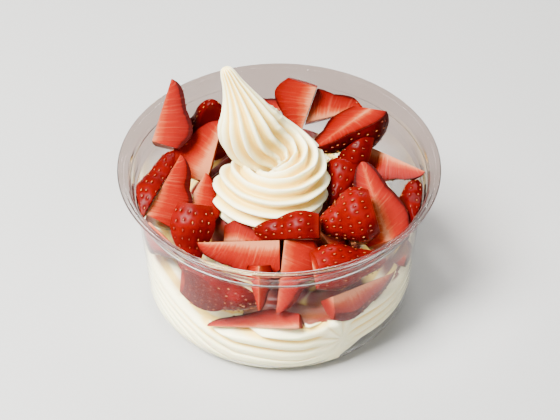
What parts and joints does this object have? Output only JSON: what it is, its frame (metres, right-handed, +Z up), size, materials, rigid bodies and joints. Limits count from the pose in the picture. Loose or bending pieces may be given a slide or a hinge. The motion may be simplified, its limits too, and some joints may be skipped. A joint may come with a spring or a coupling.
{
  "type": "frozen yogurt cup",
  "caption": "Clear tub of soft-serve frozen yogurt with a piped swirl in the middle and cut strawberry wedges heaped round it, some pressed to the wall.",
  "frame": {"origin": "centre of the cup's flat base, where it meets the table", "axes": "+Z up along the cup's axis, -Y the front of the cup, +X its right side seen from the front"},
  "size_m": [0.117, 0.117, 0.094],
  "materials": {
    "clear_plastic": "clear, thin and glossy",
    "frozen_yogurt": "soft satin cream",
    "strawberry": "moist and glossy"
  },
  "bodies": {
    "root": {"cup": "clear_plastic", "frozen_yogurt": "frozen_yogurt", "strawberry_left_rim_wedge": "strawberry", "strawberry_left_of_peak": "strawberry", "strawberry_left_wedge": "strawberry", "strawberry_front_left_skin": "strawberry", "strawberry_front_wedge": "strawberry", "strawberry_front_skin": "strawberry", "strawberry_right_seeded": "strawberry", "strawberry_right_half": "strawberry", "strawberry_back_right_half": "strawberry", "strawberry_back_upright": "strawberry", "strawberry_right_rim_wedge": "strawberry", "strawberry_front_upright": "strawberry", "strawberry_back_wedge": "strawberry", "strawberry_right_back_half": "strawberry", "strawberry_right_of_swirl": "strawberry", "strawberry_front_right_long": "strawberry", "strawberry_window_wedge": "strawberry", "strawberry_window_slice": "strawberry", "strawberry_window_skin": "strawberry", "strawberry_window_tip": "strawberry", "strawberry_right_wall_half": "strawberry", "strawberry_back_left_half": "strawberry", "strawberry_left_wall_half": "strawberry", "strawberry_tucked_left": "strawberry", "strawberry_front_tucked": "strawberry", "strawberry_front_small": "strawberry", "strawberry_front_right_tucked": "strawberry", "strawberry_left_wall_bit": "strawberry", "strawberry_back_small": "strawberry", "strawberry_window_right_bit": "strawberry"}
  },
  "joints": []
}
